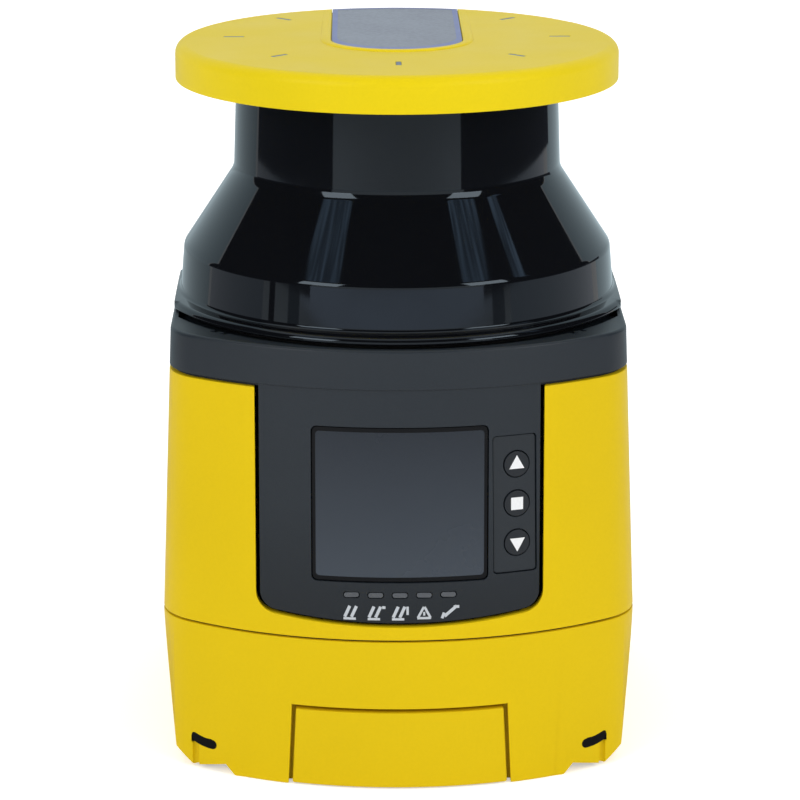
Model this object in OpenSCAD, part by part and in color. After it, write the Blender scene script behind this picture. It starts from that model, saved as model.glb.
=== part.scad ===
// Compact safety laser scanner: a stepped optical window and a round cap on a
// bowed two-part housing with display, keys, plug connectors and memory module.
// The scan axis is Z, the front faces -Y, and the base stands on Z = 0.

/* [Housing] */
// Width of the housing at its seam
body_w = 102; // [101:0.5:103]
// Depth of the housing at its seam
body_d = 112.5; // [110:0.5:122]
// Radius of the bowed front wall
front_r = 75; // [74:0.5:76]
// Radius of the two rear corners
rear_corner_r = 8; // [7:0.5:10]
// Height of the lower housing
base_h = 33; // [32:0.5:38]
// Height of the upper housing
shell_h = 53.4; // [53:0.2:60]
// Height of the collar above the upper housing
collar_h = 9.2; // [8.8:0.1:12]
// Inward lean of the upper walls for each millimetre of height
draft = 0.0375; // [0.02:0.0025:0.045]
// Inward lean of the lower flanks for each millimetre below the seam
flank_draft = 0.0875; // [0.02:0.0025:0.1]
// Wall thickness of both housings
wall = 2.8; // [2.4:0.1:3.2]
// Height of the seam between the housings, which the gasket fills
seam_gap = 0.4; // [0.2:0.1:0.8]

/* [Base] */
// Half width of the foot that the scanner stands on
foot_half_w = 35.4; // [33:0.2:36]
// Height of the notches beside the foot
notch_lift = 2.2; // [1:0.1:3]
// Height of the corners' lower edges above the foot
corner_lift = 0.5; // [0.4:0.1:1]
// Height of the slots that show the corner screws
slot_h = 1.6; // [1.4:0.1:2]
// Height of the slots above the base
slot_z = 5.6; // [5:0.1:7]
// Radius of the round pocket behind each slot
slot_r = 4.2; // [4:0.1:4.6]
// Half width of the connector bay at the rear
bay_half_w = 36; // [33:0.5:37]
// Depth of the connector bay
bay_d = 18.5; // [17:0.5:20]
// Height of the connector bay
bay_h = 26.5; // [25:0.5:27]

/* [Memory module] */
// Half width of the module's face at its top
memory_top_w = 22.1; // [20:0.1:23]
// Half width of the module's face at its foot
memory_foot_w = 23; // [21:0.1:24]
// Height of the module's top edge above the base
memory_h = 17.1; // [16:0.1:18]
// Dark gap around the module's face
memory_gap = 0.8; // [0.5:0.1:1]
// Thickness of the module's face at its edges
memory_face_t = 2.6; // [2:0.1:3]
// Half width of the tray behind the face
tray_half_w = 18; // [16:0.5:19]
// Depth of the tray
tray_d = 20; // [18:0.5:22]
// Running clearance around the tray
slide_gap = 0.35; // [0.3:0.05:0.5]

/* [Bezel] */
// Half width of the display panel
panel_half_w = 29.6; // [29:0.1:30.6]
// Height of the panel's lowest point above the base
panel_z = 36.9; // [36.6:0.1:38]
// Radius of the panel's bowed lower edge
panel_bow_r = 200; // [150:10:400]
// Radius of the panel's lower corners
panel_corner_r = 3.7; // [3:0.1:5]
// Gap between the bezel and the yellow housing
panel_gap = 0.8; // [0.3:0.05:0.9]
// How far the panel lies below the housing's surface
panel_sink = 0.4; // [0.2:0.1:0.8]
// Thickness of the panel and the collar
panel_t = 2.2; // [2:0.1:2.4]
// Width of the display opening
display_w = 37.2; // [34:0.2:37.2]
// Height of the display opening
display_h = 33.4; // [30:0.2:33.6]
// Height of the display's centre above the base
display_z = 62.4; // [62:0.1:63]
// Radius of the display opening's corners
display_corner_r = 1.2; // [0.6:0.1:2]
// Thickness of the display lens
lens_t = 1.4; // [1:0.1:1.6]

/* [Keys and lamps] */
// Width of the keypad strip
strip_w = 9.8; // [9.4:0.1:9.8]
// Height of the keypad strip
strip_h = 29.8; // [29:0.2:32]
// Turn of the keypad strip about the front wall's centre
strip_angle = 19.3; // [19:0.1:19.6]
// Spacing of the keys
key_pitch = 8.5; // [8.2:0.1:9]
// Sideways place of the keys on the strip
key_dx = 0.5; // [0:0.1:0.6]
// Radius of the key caps
key_r = 2.8; // [2.4:0.1:3]
// Running clearance around a key
key_gap = 0.15; // [0.12:0.01:0.2]
// Travel of the keys
key_travel = 0.6; // [0.4:0.05:0.7]
// Spacing of the five status lamps
lamp_pitch = 5.1; // [4.6:0.1:5.4]
// Width of a status lamp
lamp_w = 3.2; // [2.6:0.1:3.6]
// Height of a status lamp
lamp_h = 1.1; // [0.9:0.1:1.4]
// Height of the status lamps above the base
lamp_z = 43; // [42.6:0.1:43.4]

/* [Optical window] */
// Radius of the flange that seats on the collar
flange_r = 51; // [50.5:0.1:52]
// Thickness of the flange
flange_t = 1.5; // [1.2:0.1:2]
// Height of the flange's upper edge above the collar
flange_rise = 1.8; // [1.4:0.1:2.4]
// Radius at the foot of the upright band
band_r = 47.6; // [47.4:0.1:48.4]
// Height of the upright band
band_h = 9.7; // [9:0.1:12]
// Radius at the foot of the cone
cone_r = 46.8; // [46.2:0.1:47.4]
// Height of the cone
cone_h = 16.9; // [15:0.1:20]
// Radius at the foot of the neck
neck_r = 35.7; // [35:0.1:37]
// Radius at the top of the neck
neck_top_r = 35; // [34.5:0.1:35]
// Height of the neck up to the cap
neck_h = 19.7; // [19:0.1:24]
// Wall thickness of the window
window_t = 2; // [1.6:0.1:2.4]
// Angle that the window covers
scan_angle = 275; // [270:1:280]

/* [Cap] */
// Radius of the cap at its lower edge
cap_r = 48.2; // [47.5:0.1:50]
// Height of the cap
cap_h = 7.9; // [7.8:0.1:10]
// Radius of the cap's rounded upper edge
cap_edge_r = 2.4; // [1.5:0.1:3]
// Thickness of the cap's top and rim
cap_t = 1.8; // [1.6:0.1:2]
// Half width of the grey insert plate
insert_half_w = 14.2; // [13:0.1:15]
// Thickness of the insert plate
insert_t = 0.8; // [0.6:0.1:1]
// Length of the engraved angle marks
mark_l = 4.6; // [3:0.1:6]
// Width of the engraved angle marks
mark_w = 1.1; // [0.8:0.1:1.5]
// Radius of the ring of angle marks
mark_r = 35.6; // [33:0.1:37]

/* [Scan head] */
// Radius of the mirror and its holder
mirror_r = 12.5; // [11:0.1:13]
// Thickness of the mirror
mirror_t = 2; // [1.5:0.1:2.5]
// Radius of the motor shaft
shaft_r = 1.5; // [1.4:0.05:1.8]
// Running clearance of the shaft in its bearings
shaft_gap = 0.02; // [0.01:0.01:0.05]
// Outer radius of the bearings
bearing_r = 4; // [3.8:0.1:4.4]
// Thickness of each bearing
bearing_t = 3; // [2.6:0.1:3]
// Outer radius of the rotor cup
rotor_r = 23; // [21:0.5:24]
// Radius of the encoder disc
encoder_r = 18; // [16:0.5:19]
// Radius of the receiver lens
lens_r = 19; // [17:0.5:20]
// Radius of the laser module
laser_r = 4.8; // [4:0.1:5.5]

/* [Mounts] */
// Sideways spacing of the rear M5 threads
rear_hole_dx = 76; // [70:0.5:78]
// Upright spacing of the rear M5 threads
rear_hole_dz = 34; // [32:0.5:34]
// Radius of the drilled M5 threads
rear_hole_r = 2.1; // [2:0.05:2.5]
// Depth of the rear threads
rear_hole_d = 10; // [8:0.5:12]
// Distance between the two plug connectors
plug_dx = 38; // [34:0.5:40]
// Height of the plug connectors above the base
plug_z = 13.5; // [12.5:0.1:14.5]
// Outer radius of the M12 plug thread
plug_r = 6; // [5.5:0.1:6.5]
// Length of the plug thread
plug_l = 10; // [9:0.5:11]

/* [Hidden] */
$fn = 96;

// colours
YELLOW = [0.89, 0.77, 0.15];
DARK = [0.22, 0.24, 0.27];
BLACK = [0.05, 0.05, 0.06];
GREY = [0.62, 0.64, 0.69];
METAL = [0.72, 0.73, 0.75];
BRASS = [0.78, 0.62, 0.30];
BOARD = [0.08, 0.34, 0.20];
GLASS = [0.25, 0.27, 0.31];

// small shared values
EPS = 0.01;
CROSS = 0.002;          // swells an arc so that it crosses the lines it would only touch
SEAT = 0.3;             // gap between pieces that only lie near each other
FAR = 200;              // longer than any part of the scanner
SCREW_R = 1.5;
SCREW_HEAD_R = 2.8;
SCREW_HEAD_H = 1.3;
SCREW_GAP = 0.1;        // clearance of a screw in its hole
BOSS_R = 4;
BOARD_T = 1.6;

// levels
seam_z = base_h;
base_top = seam_z - seam_gap / 2;
shell_z = seam_z + seam_gap / 2;
shell_top = base_h + shell_h;
collar_top = shell_top + collar_h;
flange_top = collar_top + flange_rise;
flange_z = flange_top - flange_t;
band_z = flange_top + 0.4;
cone_z = band_z + band_h;
neck_z = cone_z + cone_h;
cap_z = neck_z + neck_h;
cap_top = cap_z + cap_h;

// plan of the housing
half_w = body_w / 2;
front_y = -body_d / 2;
rear_y = body_d / 2;
front_cy = front_y + front_r;
RAY = [0.6, -0.8];      // direction in which the front wall runs into a front corner
corner_r = (half_w - RAY[0] * front_r) / (1 - RAY[0]);
corner_cx = half_w - corner_r;
corner_cy = front_cy + RAY[1] * (front_r - corner_r);
rear_cx = half_w - rear_corner_r;
rear_cy = rear_y - rear_corner_r;
corner_turn = 24;       // direction of the corner screws from straight ahead

// How far the walls have leaned in at height z, to the nearest micron
function lean(z) = round((z - seam_z) * draft * 1000) / 1000;
function front_wall_y(x, skin) = front_cy - sqrt(pow(front_r - skin, 2) - pow(x, 2));
function corner_point(inset, turn = corner_turn) = [
    corner_cx + (corner_r - inset) * sin(turn),
    corner_cy - (corner_r - inset) * cos(turn)
];

// screws: through the lower housing, the bezel and the chassis
base_screw_z = slot_z + slot_h;
base_screw_l = 36;
base_boss_top = base_screw_z + base_screw_l + 3;
front_screw = corner_point(4);
front_slot = corner_point(3);
groove = corner_point(0, 32);       // shallow groove from each slot down to the corner's edge
groove_r = 0.9;
base_screws = [
    [front_screw[0], front_screw[1]], [-front_screw[0], front_screw[1]],
    [rear_cx + 2, rear_cy + 2], [-rear_cx - 2, rear_cy + 2]
];
bezel_screw_l = 15;
bezel_boss_h = 11;
bezel_front = corner_point(7.6);
bezel_points = [
    [bezel_front[0], bezel_front[1]], [-bezel_front[0], bezel_front[1]],
    [rear_cx + 0.4, rear_cy + 0.4], [-rear_cx - 0.4, rear_cy + 0.4]
];
chassis_t = 2.8;
chassis_top = shell_top + chassis_t;
chassis_screw_x = half_w - lean(shell_top) - wall - 3.6;
chassis_points = [for (side = [-1, 1], y = [-14, 18]) [side * chassis_screw_x, y]];

// memory module
memory_edge_y = front_wall_y(memory_foot_w, 0);
memory_back_y = memory_edge_y + memory_face_t;
memory_foot_z = 0.3;
pocket_back_y = memory_back_y + slide_gap;
tray_z = 2.6;
tray_top = memory_h - 1.6;
tray_back_y = memory_back_y + tray_d;
tray_wall = 1.2;
bay_back_y = tray_back_y + 0.6;
bay_wall = 2;
memory_board_z = tray_z + 5.6;
tongue_half_w = 8;
tongue_l = 5;
base_floor = 2.6;
interface_z = 22;
interface_points = [[-28, -20], [28, -20], [-28, 27], [28, 27]];

// connector bay
bay_front_y = rear_y - bay_d;
bay_wall_y = bay_front_y - wall;
plug_back_y = bay_wall_y - 2.4;
plug_flange_t = 2;
plug_flange_r = 8.2;
plug_tip_y = bay_front_y + plug_flange_t + plug_l;

// bezel
collar_recess = 1.2;
collar_rim = 1.3;
head_r = band_r - window_t - 0.6;   // opening of the collar below the window
sensor_r = head_r - 5;              // ring of sensors under the window
panel_skin = panel_sink + panel_t;
inlay_sink = panel_sink + 0.4;
inlay_lip = 0.6;
inlay_lip_t = 0.7;
inlay_gap = 0.12;
inlay_back = panel_skin + inlay_lip_t;

// display and keys
lcd_w = 37.2;
lcd_h = 33;
lcd_t = 3;
lcd_y = front_wall_y(lcd_w / 2, inlay_back + lean(display_z + lcd_h / 2)) + SEAT;
frame_t = 2.4;
display_board_y = lcd_y + lcd_t + frame_t;
display_board_x = 15.4;
display_board_z = [40.2, 82.8];
key_switch_y = front_y + inlay_back + lean(display_z) + 3;
key_board_y = key_switch_y + 1.4;
keys_z = display_z - 0.8;

// main board
main_board_y = rear_y - 13;
main_board_x = 24;
main_board_z = [41, 79];
rear_hole_z = 60;

// scan head
lens_z = collar_top + 3.4;
barrel_z = chassis_top - 20;
sensor_board_z = collar_top + 0.4;
bracket_z = cap_z - 1.1;
bracket_t = 2;
column_t = 3.4;         // wall of the rear column
bracket_r = neck_top_r - column_t - SEAT;
mirror_z = bracket_z - 7.5 - mirror_r;
holder_top = bracket_z - 6;
hub_r = bearing_r + 2;
spine_half_w = 14;
spine_y = 33;
spine_back_y = 47.5;
tenon_y = 35;
tenon_half_w = 9;
column_points = [[-5, 39], [5, 39]];
bracket_points = [[-7, 40], [7, 40]];
cap_post_r = 28;
mark_cy = 4.5;          // the angle marks are set about this point
mark_depth = 0.3;

// ---------------------------------------------------------------- shapes

// Outline with straight flanks, round lower corners and a bowed lower edge
// whose lowest point is the origin. grow moves the whole edge outward.
module bowed_outline(w, bow, corner, length, grow = 0, swell = 0) {
    cx = w - corner;
    cy = bow - sqrt(pow(bow - corner, 2) - pow(cx, 2));
    reach = 1.4 * bow / (bow - corner);
    intersection() {
        translate([0, bow]) circle(bow + grow, $fn = 240);
        polygon([
            [0, bow],
            [-cx * reach, bow - (bow - cy) * reach],
            [cx * reach, bow - (bow - cy) * reach]
        ]);
    }
    for (side = [-1, 1]) translate([side * cx, cy]) circle(corner + grow + swell);
    translate([-w - grow, cy]) square([2 * (w + grow), length - cy]);
}

// Plan of the housing at the seam, moved inward by skin
module body_plan(skin = 0) {
    translate([0, front_y]) bowed_outline(half_w, front_r, corner_r, body_d - rear_corner_r, -skin);
    for (side = [-1, 1]) translate([side * rear_cx, rear_cy]) circle(rear_corner_r - skin);
    translate([-rear_cx, rear_cy - 1]) square([2 * rear_cx, rear_corner_r + 1 - skin]);
}

// Block over the housing's plan whose walls all lean in with height
module leaning_block(z0, z1, skin = 0) {
    low = skin + lean(z0);
    high = skin + lean(z1);
    h = z1 - z0;
    translate([0, 0, z0]) {
        intersection() {
            translate([0, front_cy, 0]) rotate(90)
                cylinder(h = h, r1 = front_r - low, r2 = front_r - high, $fn = 240);
            linear_extrude(h) polygon([
                [0, front_cy],
                [-RAY[0] * FAR, front_cy + RAY[1] * FAR],
                [RAY[0] * FAR, front_cy + RAY[1] * FAR]
            ]);
        }
        for (side = [-1, 1]) intersection() {
            translate([side * corner_cx, corner_cy, 0]) rotate(90)
                cylinder(h = h, r1 = corner_r - low, r2 = corner_r - high);
            linear_extrude(h) polygon([
                [side * corner_cx, corner_cy],
                [side * (corner_cx + RAY[0] * body_w), corner_cy + RAY[1] * body_w],
                [side * body_w * 2, corner_cy + RAY[1] * body_w],
                [side * body_w * 2, corner_cy]
            ]);
        }
        translate([0, rear_cy, 0]) rotate([90, 0, 0]) linear_extrude(rear_cy - corner_cy)
            polygon([[low - half_w, 0], [half_w - low, 0], [half_w - high, h], [high - half_w, h]]);
        translate([-rear_cx, 0, 0]) rotate([90, 0, 90]) linear_extrude(2 * rear_cx)
            polygon([[rear_cy, 0], [rear_y - low, 0], [rear_y - high, h], [rear_cy, h]]);
        for (side = [-1, 1]) intersection() {
            translate([side * rear_cx, rear_cy, 0]) rotate(-90)
                cylinder(h = h, r1 = rear_corner_r - low, r2 = rear_corner_r - high);
            translate([side > 0 ? rear_cx : -rear_cx - body_w, rear_cy, 0]) cube([body_w, body_w, h]);
        }
    }
}

// Shell that follows the front wall between two skins
module front_shell(z0, z1, skin0, skin1) {
    h = z1 - z0;
    translate([0, front_cy, z0]) difference() {
        cylinder(h = h, r1 = front_r - skin0 - lean(z0), r2 = front_r - skin0 - lean(z1), $fn = 240);
        translate([0, 0, -EPS]) cylinder(
            h = h + 2 * EPS,
            r1 = front_r - skin1 - lean(z0 - EPS),
            r2 = front_r - skin1 - lean(z1 + EPS),
            $fn = 240
        );
    }
}

// Rectangle with round corners, centred
module rounded_rect(w, h, r) {
    square([w, h - 2 * r], center = true);
    square([w - 2 * r, h], center = true);
    for (x = [-1, 1], y = [-1, 1]) translate([x * (w / 2 - r), y * (h / 2 - r)]) circle(r);
}

// Extrudes a front view (x across, z up) from plane y0 back to plane y1
module front_view(y0, y1) {
    translate([0, y1, 0]) rotate([90, 0, 0]) linear_extrude(y1 - y0) children();
}

// Box given by its lowest and highest corners
module box(low, high) {
    translate(low) cube(high - low);
}

module ring(r_out, r_in, h) {
    difference() {
        cylinder(h = h, r = r_out);
        translate([0, 0, -EPS]) cylinder(h = h + 2 * EPS, r = r_in);
    }
}

// Socket-head screw along +Z with its head below the origin
module screw(length) {
    cylinder(h = length, r = SCREW_R, $fn = 32);
    difference() {
        translate([0, 0, -SCREW_HEAD_H]) cylinder(h = SCREW_HEAD_H, r = SCREW_HEAD_R, $fn = 32);
        translate([0, 0, -SCREW_HEAD_H - EPS]) cylinder(h = SCREW_HEAD_H * 0.6, r = SCREW_R * 0.8, $fn = 6);
    }
}

// Copies at a list of plan points, all at height z
module each_at(points, z = 0) {
    for (p = points) translate([p[0], p[1], z]) children();
}

// Turns the front of the housing round to the keypad strip
module at_strip() {
    translate([0, front_cy, 0]) rotate([0, 0, strip_angle]) translate([0, -front_cy, 0]) children();
}

// Wedge of the plan behind the scan axis that the window leaves open
module rear_wedge(turn = 0) {
    half = (360 - scan_angle) / 2 - turn;
    polygon([[0, 0], [FAR * sin(half), FAR * cos(half)], [-FAR * sin(half), FAR * cos(half)]]);
}

// ---------------------------------------------------------------- cap

module cap_profile(skin) {
    corner = cap_r - cap_edge_r;
    square([corner, cap_h - skin]);
    square([cap_r - skin, cap_h - cap_edge_r]);
    translate([corner, cap_h - cap_edge_r]) circle(cap_edge_r - skin);
}

module cap_body(skin) {
    translate([0, 0, cap_z]) rotate_extrude() intersection() {
        cap_profile(skin);
        square([cap_r, cap_h]);
    }
}

// Tongue with a round front end that runs out over the rear rim
module insert_outline(grow = 0) {
    circle(insert_half_w + grow);
    translate([-insert_half_w - grow, 0]) square([2 * (insert_half_w + grow), cap_r + 1]);
}

module insert_zone(grow = 0) {
    translate([0, 0, cap_top - cap_h / 2]) linear_extrude(cap_h) insert_outline(grow);
}

module top_cap() {
    color(YELLOW) difference() {
        union() {
            difference() {
                cap_body(0);
                translate([0, 0, cap_z - EPS]) cylinder(h = cap_h - cap_t - insert_t, r = cap_r - cap_t);
            }
            for (a = [30, 150, 270]) rotate(a) translate([cap_post_r, 0, bracket_z + bracket_t])
                cylinder(h = cap_top - cap_t - bracket_z - bracket_t, r = 3);
        }
        difference() {
            insert_zone(0.15);
            cap_body(insert_t);
        }
        for (a = [30, 150, 270]) rotate(a) translate([cap_post_r, 0, bracket_z])
            cylinder(h = 5.5, r = SCREW_R + SCREW_GAP, $fn = 32);
        for (k = [-3:3]) translate([0, mark_cy, cap_top - mark_depth]) rotate(k * 45 - 90)
            translate([mark_r - mark_l / 2, -mark_w / 2, 0]) cube([mark_l, mark_w, 1]);
    }
}

module cap_insert() {
    color(GREY) intersection() {
        insert_zone();
        difference() {
            cap_body(0);
            cap_body(insert_t);
        }
    }
}

module cap_underplate() {
    color(YELLOW) translate([0, 0, cap_z]) difference() {
        ring(cap_r - cap_t - inlay_gap, neck_top_r + SEAT, 1.4);
        translate([-spine_half_w - SEAT, 0, -EPS]) cube([2 * (spine_half_w + SEAT), spine_back_y + SEAT, 3]);
    }
}

module cap_screws() {
    color(METAL) for (a = [30, 150, 270]) rotate(a) translate([cap_post_r, 0, bracket_z])
        screw(bracket_t + 3);
}

// ---------------------------------------------------------------- window

function window_points(t) = [
    [flange_r, flange_z], [flange_r, flange_top], [band_r, band_z], [cone_r, cone_z],
    [neck_r, neck_z], [neck_top_r, cap_z + 1], [neck_top_r - t, cap_z + 1],
    [neck_r - t, neck_z - t * 0.3], [cone_r - t, cone_z - t * 0.6], [band_r - t - 0.4, flange_z]
];

module window_seat() {
    linear_extrude(FAR) body_plan(lean(collar_top) + 0.2);
}

module optical_window() {
    color(BLACK) intersection() {
        rotate([0, 0, 90 + (360 - scan_angle) / 2]) rotate_extrude(angle = scan_angle)
            polygon(window_points(window_t));
        window_seat();
    }
}

module window_seal() {
    color(BLACK) translate([0, 0, collar_top - collar_recess])
        ring(head_r + 2, head_r + 0.2, flange_z - collar_top + collar_recess);
}

module rear_column() {
    half = (360 - scan_angle) / 2 - 0.4;
    foot_z = chassis_top;
    color(DARK) difference() {
        union() {
            intersection() {
                rotate([0, 0, 90 - half]) rotate_extrude(angle = 2 * half) polygon([
                    for (p = window_points(column_t)) [p[0], min(p[1], cap_z - 0.2)]
                ]);
                window_seat();
            }
            box([-spine_half_w, spine_y, flange_z], [spine_half_w, spine_back_y, bracket_z]);
            box([-tenon_half_w, tenon_y, foot_z], [tenon_half_w, head_r - 2, flange_z + 1]);
        }
        box([-spine_half_w - SEAT, 0, bracket_z], [spine_half_w + SEAT, 46, cap_top]);
        each_at(column_points, foot_z - 1) cylinder(h = 8, r = SCREW_R + SCREW_GAP, $fn = 32);
        each_at(bracket_points, bracket_z - 7) cylinder(h = 8, r = SCREW_R + SCREW_GAP, $fn = 32);
    }
}

module column_screws() {
    color(METAL) each_at(column_points, shell_top) screw(chassis_t + 5);
}

// ---------------------------------------------------------------- bezel

module panel_outline(grow = 0) {
    translate([0, panel_z]) bowed_outline(
        panel_half_w, panel_bow_r, panel_corner_r, shell_top + 1 - panel_z, grow, CROSS
    );
}

// Piece let into the panel: its outline shows, and lips above and below hold it from behind
module inlay(w, h, r, z, gap = 0) {
    top = z + h / 2 + inlay_lip + 1;
    foot = z - h / 2 - inlay_lip - 1;
    intersection() {
        front_shell(foot, top, gap > 0 ? -1 : inlay_sink, inlay_back);
        front_view(front_y - 2, front_y + 16) translate([0, z]) rounded_rect(w + 2 * gap, h + 2 * gap, r + gap);
    }
    if (gap == 0) intersection() {
        front_shell(foot, top, panel_skin, inlay_back);
        front_view(front_y - 2, front_y + 16) translate([0, z])
            rounded_rect(w, h + 2 * inlay_lip, r);
    }
}

module lamp_outlines(grow = 0) {
    for (i = [-2:2]) translate([i * lamp_pitch, lamp_z])
        rounded_rect(lamp_w + 2 * grow, lamp_h + 2 * grow, lamp_h / 2 - EPS);
}

module front_bezel() {
    color(DARK) difference() {
        union() {
            difference() {
                union() {
                    leaning_block(shell_top + panel_gap, collar_top);
                    leaning_block(shell_top, shell_top + 1, 1.2);
                }
                leaning_block(shell_top - 1, collar_top - collar_recess - panel_t, panel_t);
                translate([0, 0, shell_top - 1]) cylinder(h = FAR, r = head_r);
                intersection() {
                    translate([0, 0, collar_top - collar_recess]) cylinder(h = FAR, r = flange_r + 1.5);
                    leaning_block(collar_top - collar_recess - 1, collar_top + 1, collar_rim);
                }
            }
            intersection() {
                leaning_block(shell_top, collar_top - 1, panel_t / 2);
                each_at(bezel_points, shell_top) cylinder(h = collar_h - 3, r = BOSS_R - 0.4);
            }
            intersection() {
                difference() {
                    leaning_block(panel_z - 1, shell_top + 1, panel_sink);
                    leaning_block(panel_z - 2, shell_top + 2, panel_skin);
                }
                front_view(front_y - 1, corner_cy) panel_outline();
            }
            for (x = [-display_board_x, display_board_x], z = display_board_z)
                translate([x, display_board_y, z]) rotate([90, 0, 0])
                    cylinder(h = display_board_y - front_wall_y(x, panel_skin - 0.5 + lean(z)), r = 1.8, $fn = 32);
        }
        inlay(display_w, display_h, display_corner_r, display_z, EPS);
        at_strip() inlay(strip_w, strip_h, 0.8, keys_z, EPS);
        front_view(front_y - 2, front_y + 14) lamp_outlines(0.1);
        each_at(bezel_points, shell_top - 1) cylinder(h = 5.5, r = SCREW_R + SCREW_GAP, $fn = 32);
        for (side = [-1, 1], k = [0, 1]) rotate([0, 0, side * (44 + 3.2 * k)])
            translate([0, -flange_r - 1.2, collar_top]) cube([1.4, 3.4, 2.4], center = true);
    }
}

module bezel_screws() {
    color(METAL) each_at(bezel_points, shell_top - bezel_boss_h) screw(bezel_screw_l);
}

module display_lens() {
    color(GLASS) inlay(display_w - 2 * inlay_gap, display_h - 2 * inlay_gap, display_corner_r, display_z);
}

module lcd_module() {
    color(METAL) box(
        [-lcd_w / 2, lcd_y, display_z - lcd_h / 2],
        [lcd_w / 2, lcd_y + lcd_t, display_z + lcd_h / 2]
    );
}

module lcd_frame() {
    color(DARK) front_view(lcd_y + lcd_t, display_board_y) translate([0, display_z]) difference() {
        square([lcd_w, lcd_h], center = true);
        square([lcd_w - 4, lcd_h - 4], center = true);
    }
}

module display_board() {
    low = display_board_z[0] - 2.6;
    high = display_board_z[1] + 2.2;
    color(BOARD) {
        box([-lcd_w / 2, display_board_y, low], [lcd_w / 2, display_board_y + BOARD_T, high]);
        for (i = [-2:2]) translate([i * lamp_pitch, display_board_y, lamp_z]) rotate([90, 0, 0])
            cylinder(h = 1, r = lamp_w / 2 - 0.2, $fn = 24);
        box([-9, display_board_y + BOARD_T, 52], [9, display_board_y + BOARD_T + 3, 57]);
    }
}

module status_lamps() {
    color(GREY) for (i = [-2:2]) {
        y0 = front_wall_y(i * lamp_pitch, panel_sink + lean(lamp_z));
        front_view(y0, display_board_y - 1 - SEAT) translate([i * lamp_pitch, lamp_z])
            rounded_rect(lamp_w, lamp_h, lamp_h / 2 - EPS);
    }
}

// ---------------------------------------------------------------- keys

module key_positions() {
    for (i = [-1:1]) translate([key_dx, 0, keys_z + i * key_pitch]) children();
}

module keypad_strip() {
    color(DARK) at_strip() difference() {
        inlay(strip_w - 2 * inlay_gap, strip_h - 2 * inlay_gap, 0.8, keys_z);
        key_positions() translate([0, front_y + 20, 0]) rotate([90, 0, 0])
            cylinder(h = 30, r = key_r + key_gap, $fn = 48);
    }
}

// One key: cap, retaining flange and stem; row counts up from the lowest key
module key_cap(row) {
    z = keys_z + row * key_pitch;
    face_y = front_y + inlay_sink + lean(z) - 0.15;
    flange_y = front_y + inlay_back + lean(z) + 0.4;
    color(DARK) at_strip() translate([key_dx, 0, z]) rotate([-90, 0, 0]) {
        translate([0, 0, face_y]) cylinder(h = flange_y - face_y, r = key_r, $fn = 48);
        translate([0, 0, flange_y]) cylinder(h = 0.7, r = key_r + 0.5, $fn = 48);
        translate([0, 0, flange_y]) cylinder(h = key_switch_y - key_travel - 0.15 - flange_y, r = 1, $fn = 32);
    }
}

module key_up() {
    key_cap(1);
}

module key_select() {
    key_cap(0);
}

module key_down() {
    key_cap(-1);
}

module key_board() {
    color(BOARD) at_strip() {
        box([-2.4, key_board_y, keys_z - 14], [4.6, key_board_y + BOARD_T, keys_z + 14]);
        key_positions() {
            translate([-2, key_switch_y + 0.4, -2]) cube([4, 1, 4]);
            translate([0, key_switch_y + 0.5, 0]) rotate([90, 0, 0]) cylinder(h = 0.5, r = 0.8, $fn = 24);
        }
    }
}

// ---------------------------------------------------------------- upper housing

// Places copies on the rear wall at the four M5 threads, +Z turned to +Y
module rear_holes() {
    for (x = [-1, 1], z = [-1, 1])
        translate([x * rear_hole_dx / 2, rear_y, rear_hole_z + z * rear_hole_dz / 2]) rotate([-90, 0, 0])
            children();
}

module upper_housing() {
    color(YELLOW) difference() {
        union() {
            difference() {
                leaning_block(shell_z, shell_top);
                leaning_block(shell_z - 1, shell_top + 1, wall);
            }
            intersection() {
                leaning_block(shell_z, shell_top, wall / 2);
                union() {
                    each_at(base_screws, shell_z) cylinder(h = base_boss_top - shell_z, r = BOSS_R);
                    each_at(bezel_points, shell_top - bezel_boss_h) cylinder(h = bezel_boss_h, r = BOSS_R);
                    each_at(chassis_points, shell_top - bezel_boss_h) cylinder(h = bezel_boss_h, r = BOSS_R);
                }
            }
            rear_holes() translate([0, 0, -rear_hole_d - 2]) cylinder(h = rear_hole_d + 2, r = 5.4);
            for (x = [-main_board_x, main_board_x], z = main_board_z)
                translate([x, rear_y - wall / 2 - lean(z), z]) rotate([90, 0, 0])
                    cylinder(h = rear_y - wall / 2 - lean(z) - main_board_y - BOARD_T, r = 2.6, $fn = 32);
        }
        front_view(front_y - 1, corner_cy - 8) panel_outline(panel_gap);
        rear_holes() translate([0, 0, -rear_hole_d]) cylinder(h = rear_hole_d + 1, r = rear_hole_r);
        each_at(base_screws, shell_z - 1)
            cylinder(h = base_boss_top - shell_z - 1, r = SCREW_R + SCREW_GAP, $fn = 32);
        each_at(bezel_points, shell_top - 12) cylinder(h = 13, r = SCREW_R + SCREW_GAP, $fn = 32);
        each_at(bezel_points, shell_top - bezel_boss_h - 4) cylinder(h = 4, r = SCREW_HEAD_R + 0.2, $fn = 32);
        each_at(chassis_points, shell_top - 9) cylinder(h = 10, r = SCREW_R + SCREW_GAP, $fn = 32);
        for (x = [-main_board_x, main_board_x], z = main_board_z)
            translate([x, main_board_y + 8, z]) rotate([90, 0, 0])
                cylinder(h = 8, r = SCREW_R + SCREW_GAP, $fn = 32);
    }
}

module housing_gasket() {
    color(BLACK) translate([0, 0, base_top]) linear_extrude(seam_gap) difference() {
        body_plan(1);
        body_plan(wall);
    }
}

// ---------------------------------------------------------------- lower housing

module flank_profile(skin) {
    top = half_w - skin - (seam_z - base_top) * flank_draft;
    foot = half_w - skin - seam_z * flank_draft;
    polygon([[-foot, 0], [foot, 0], [top, base_top], [-top, base_top]]);
}

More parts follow.
